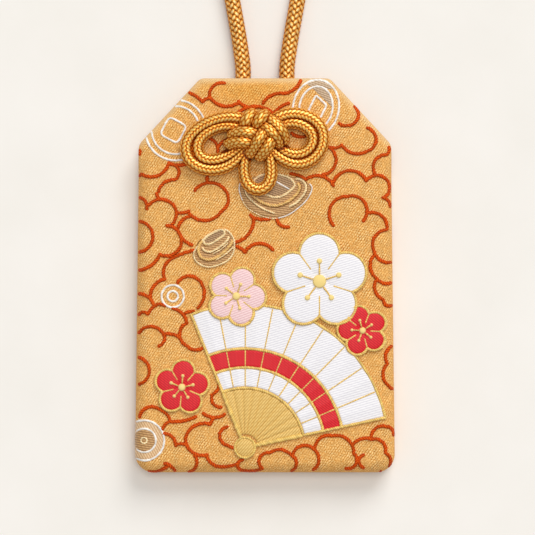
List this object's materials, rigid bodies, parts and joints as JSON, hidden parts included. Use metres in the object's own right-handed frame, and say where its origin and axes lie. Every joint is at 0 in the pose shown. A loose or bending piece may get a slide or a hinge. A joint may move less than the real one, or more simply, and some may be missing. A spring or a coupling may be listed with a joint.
{
  "type": "omamori charm",
  "caption": "Small brocade amulet pouch with slanted shoulders, an embroidered front, a folded prayer packet inside, a decorative looped knot and a braided hanging loop.",
  "frame": {"origin": "middle of the pouch's back, on the surface that it lies on", "axes": "+X to the right seen from the front, +Y to the hanging loop, +Z out of the front"},
  "size_m": [0.0456, 0.1166, 0.0109],
  "materials": {
    "brocade": "woven gold twill with a soft sheen",
    "lining": "plain matt cloth",
    "card": "matt",
    "wadding": "soft fibre",
    "tablet_wood": "planed, unfinished",
    "paper": "matt",
    "red_paper": "matt",
    "seam_thread": "silk sheen",
    "gold_cord": "braided silk sheen",
    "white_thread": "silk sheen",
    "red_thread": "silk sheen",
    "pink_thread": "silk sheen",
    "gold_thread": "silk sheen",
    "coin_thread": "silk sheen"
  },
  "bodies": {
    "pouch": {"front_brocade": "brocade", "back_brocade": "brocade", "front_lining": "lining", "back_lining": "lining", "front_card": "card", "back_card": "card", "wadding": "wadding", "side_seam_left": "seam_thread", "side_seam_right": "seam_thread", "bottom_seam": "seam_thread", "cord_leg_left": "gold_cord", "cord_leg_right": "gold_cord", "cord_knot": "gold_cord", "fan_base": "white_thread", "fan_leaf": "white_thread", "blossom_white": "white_thread", "fan_band": "red_thread", "blossom_red_upper": "red_thread", "blossom_red_lower": "red_thread", "blossom_pink": "pink_thread", "fan_sticks": "gold_thread", "fan_rivet": "gold_thread", "coin_large": "coin_thread", "coin_small": "coin_thread"},
    "packet": {"prayer_tablet": "tablet_wood", "paper_wrapper": "paper", "wrapper_band": "red_paper"},
    "hanging_loop": {"hang_loop": "gold_cord"}
  },
  "joints": [
    {"name": "loop_swing", "type": "hinge", "parent": "pouch", "child": "hanging_loop", "pos_m": [0, 0.0361, 0.0013], "axis": [1, 0, 0], "range_deg": [0, 90]},
    {"name": "packet_slide", "type": "slide", "parent": "pouch", "child": "packet", "axis": [0, 1, 0], "range_m": [0, 0.0025]}
  ]
}
